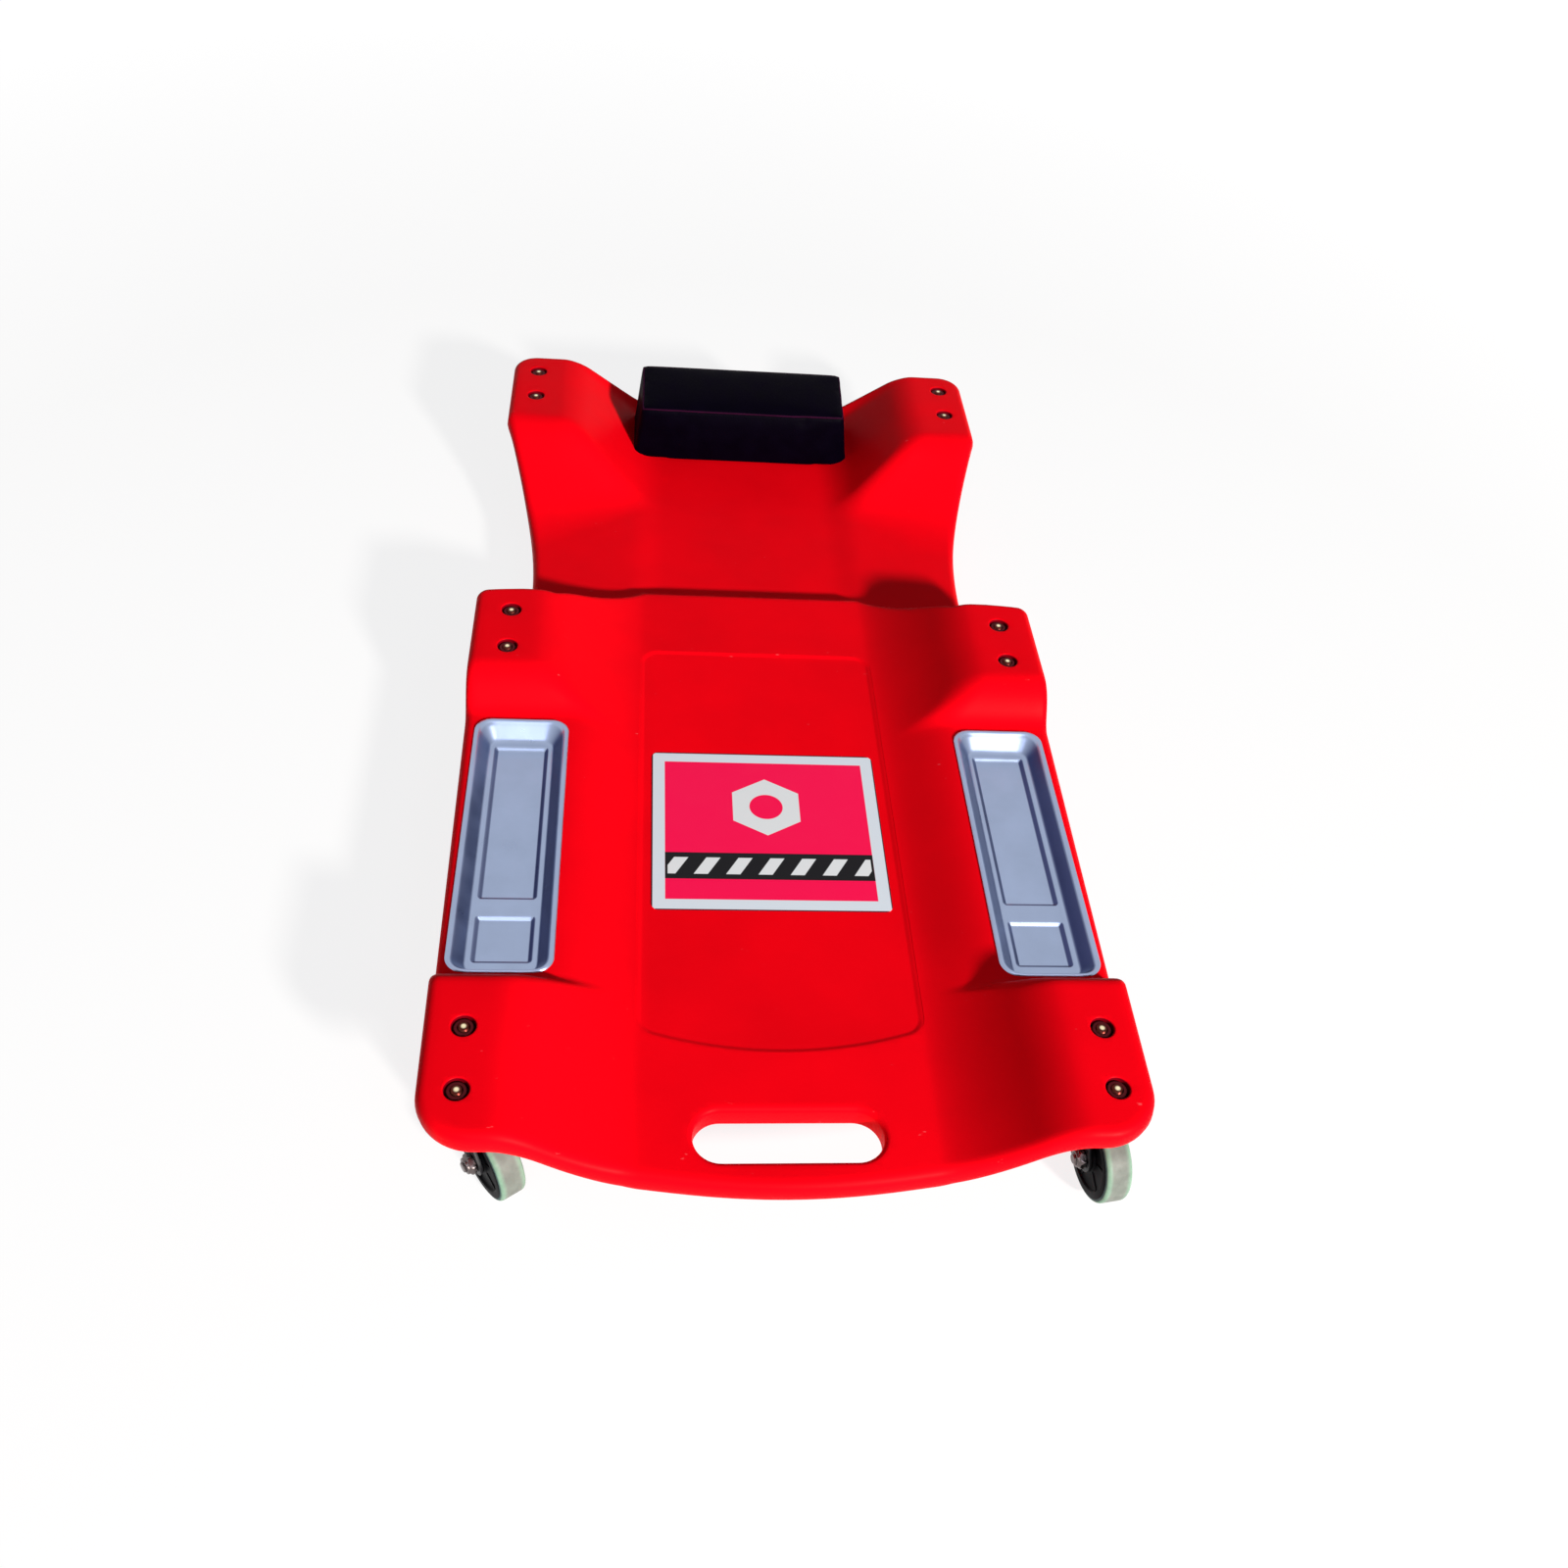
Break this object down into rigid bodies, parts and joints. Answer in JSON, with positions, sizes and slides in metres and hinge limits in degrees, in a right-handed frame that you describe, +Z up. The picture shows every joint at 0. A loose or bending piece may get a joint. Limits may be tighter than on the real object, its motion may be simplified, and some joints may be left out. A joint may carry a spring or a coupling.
{
  "type": "mechanic creeper",
  "caption": "Low rolling creeper: a dished red double-wall plastic deck with tool trays, a padded headrest, a grip slot and swivel casters under its raised pads.",
  "frame": {"origin": "on the floor under the middle of the deck, between the outermost edges in X and Y", "axes": "+X across the deck to the right of a user who lies on it face up, seen from the grip end; +Y along the deck to the head end; +Z up"},
  "size_m": [0.491, 0.958, 0.1139],
  "materials": {
    "red_plastic": "glossy",
    "tray_sheet": "satin",
    "black_vinyl": "smooth vinyl coating",
    "board_wood": "plain plywood",
    "label_film": "smooth film",
    "plated_steel": "zinc plated",
    "bare_steel": "zinc plated",
    "black_steel": "satin black",
    "black_plastic": "satin",
    "grey_rubber": "satin"
  },
  "bodies": {
    "deck_body": {"deck": "red_plastic", "left_tool_tray": "tray_sheet", "right_tool_tray": "tray_sheet", "headrest_pad": "black_vinyl", "headrest_board": "board_wood", "headrest_screws": "bare_steel", "headrest_washers": "bare_steel", "label": "label_film", "plate_bolts": "plated_steel", "plate_washers": "bare_steel", "plate_nuts": "plated_steel", "swivel_kingpins": "bare_steel", "swivel_balls": "bare_steel", "foot_left_plate": "bare_steel", "foot_right_plate": "bare_steel", "mid_left_plate": "bare_steel", "mid_right_plate": "bare_steel", "head_left_plate": "bare_steel", "head_right_plate": "bare_steel"},
    "foot_left_swivel_body": {"foot_left_fork": "black_steel", "foot_left_axle_bolt": "bare_steel", "foot_left_axle_nut": "bare_steel", "foot_left_sleeve": "bare_steel"},
    "foot_left_wheel_body": {"foot_left_wheel": "black_plastic", "foot_left_tread": "grey_rubber"},
    "foot_right_swivel_body": {"foot_right_fork": "black_steel", "foot_right_axle_bolt": "bare_steel", "foot_right_axle_nut": "bare_steel", "foot_right_sleeve": "bare_steel"},
    "foot_right_wheel_body": {"foot_right_wheel": "black_plastic", "foot_right_tread": "grey_rubber"},
    "mid_left_swivel_body": {"mid_left_fork": "black_steel", "mid_left_axle_bolt": "bare_steel", "mid_left_axle_nut": "bare_steel", "mid_left_sleeve": "bare_steel"},
    "mid_left_wheel_body": {"mid_left_wheel": "black_plastic", "mid_left_tread": "grey_rubber"},
    "mid_right_swivel_body": {"mid_right_fork": "black_steel", "mid_right_axle_bolt": "bare_steel", "mid_right_axle_nut": "bare_steel", "mid_right_sleeve": "bare_steel"},
    "mid_right_wheel_body": {"mid_right_wheel": "black_plastic", "mid_right_tread": "grey_rubber"},
    "head_left_swivel_body": {"head_left_fork": "black_steel", "head_left_axle_bolt": "bare_steel", "head_left_axle_nut": "bare_steel", "head_left_sleeve": "bare_steel"},
    "head_left_wheel_body": {"head_left_wheel": "black_plastic", "head_left_tread": "grey_rubber"},
    "head_right_swivel_body": {"head_right_fork": "black_steel", "head_right_axle_bolt": "bare_steel", "head_right_axle_nut": "bare_steel", "head_right_sleeve": "bare_steel"},
    "head_right_wheel_body": {"head_right_wheel": "black_plastic", "head_right_tread": "grey_rubber"}
  },
  "joints": [
    {"name": "foot_left_swivel", "type": "hinge", "parent": "deck_body", "child": "foot_left_swivel_body", "pos_m": [-0.214, -0.409, 0.0777], "axis": [0, 0, 1], "continuous": true},
    {"name": "foot_left_roll", "type": "hinge", "parent": "foot_left_swivel_body", "child": "foot_left_wheel_body", "pos_m": [-0.19667, -0.4347, 0.03175], "axis": [0.829, 0.5592, 0], "continuous": true},
    {"name": "foot_right_swivel", "type": "hinge", "parent": "deck_body", "child": "foot_right_swivel_body", "pos_m": [0.214, -0.409, 0.0777], "axis": [0, 0, 1], "continuous": true},
    {"name": "foot_right_roll", "type": "hinge", "parent": "foot_right_swivel_body", "child": "foot_right_wheel_body", "pos_m": [0.21885, -0.43962, 0.03175], "axis": [0.9877, 0.1564, 0], "continuous": true},
    {"name": "mid_left_swivel", "type": "hinge", "parent": "deck_body", "child": "mid_left_swivel_body", "pos_m": [-0.214, 0.023, 0.0777], "axis": [0, 0, 1], "continuous": true},
    {"name": "mid_left_roll", "type": "hinge", "parent": "mid_left_swivel_body", "child": "mid_left_wheel_body", "pos_m": [-0.20546, -0.0068, 0.03175], "axis": [0.9613, 0.2756, 0], "continuous": true},
    {"name": "mid_right_swivel", "type": "hinge", "parent": "deck_body", "child": "mid_right_swivel_body", "pos_m": [0.214, 0.023, 0.0777], "axis": [0, 0, 1], "continuous": true},
    {"name": "mid_right_roll", "type": "hinge", "parent": "mid_right_swivel_body", "child": "mid_right_wheel_body", "pos_m": [0.20289, -0.00594, 0.03175], "axis": [0.9336, -0.3584, 0], "continuous": true},
    {"name": "head_left_swivel", "type": "hinge", "parent": "deck_body", "child": "head_left_swivel_body", "pos_m": [-0.214, 0.423, 0.0777], "axis": [0, 0, 1], "continuous": true},
    {"name": "head_left_roll", "type": "hinge", "parent": "head_left_swivel_body", "child": "head_left_wheel_body", "pos_m": [-0.20703, 0.39279, 0.03175], "axis": [0.9744, 0.225, 0], "continuous": true},
    {"name": "head_right_swivel", "type": "hinge", "parent": "deck_body", "child": "head_right_swivel_body", "pos_m": [0.214, 0.423, 0.0777], "axis": [0, 0, 1], "continuous": true},
    {"name": "head_right_roll", "type": "hinge", "parent": "head_right_swivel_body", "child": "head_right_wheel_body", "pos_m": [0.20494, 0.39335, 0.03175], "axis": [0.9563, -0.2924, 0], "continuous": true}
  ]
}
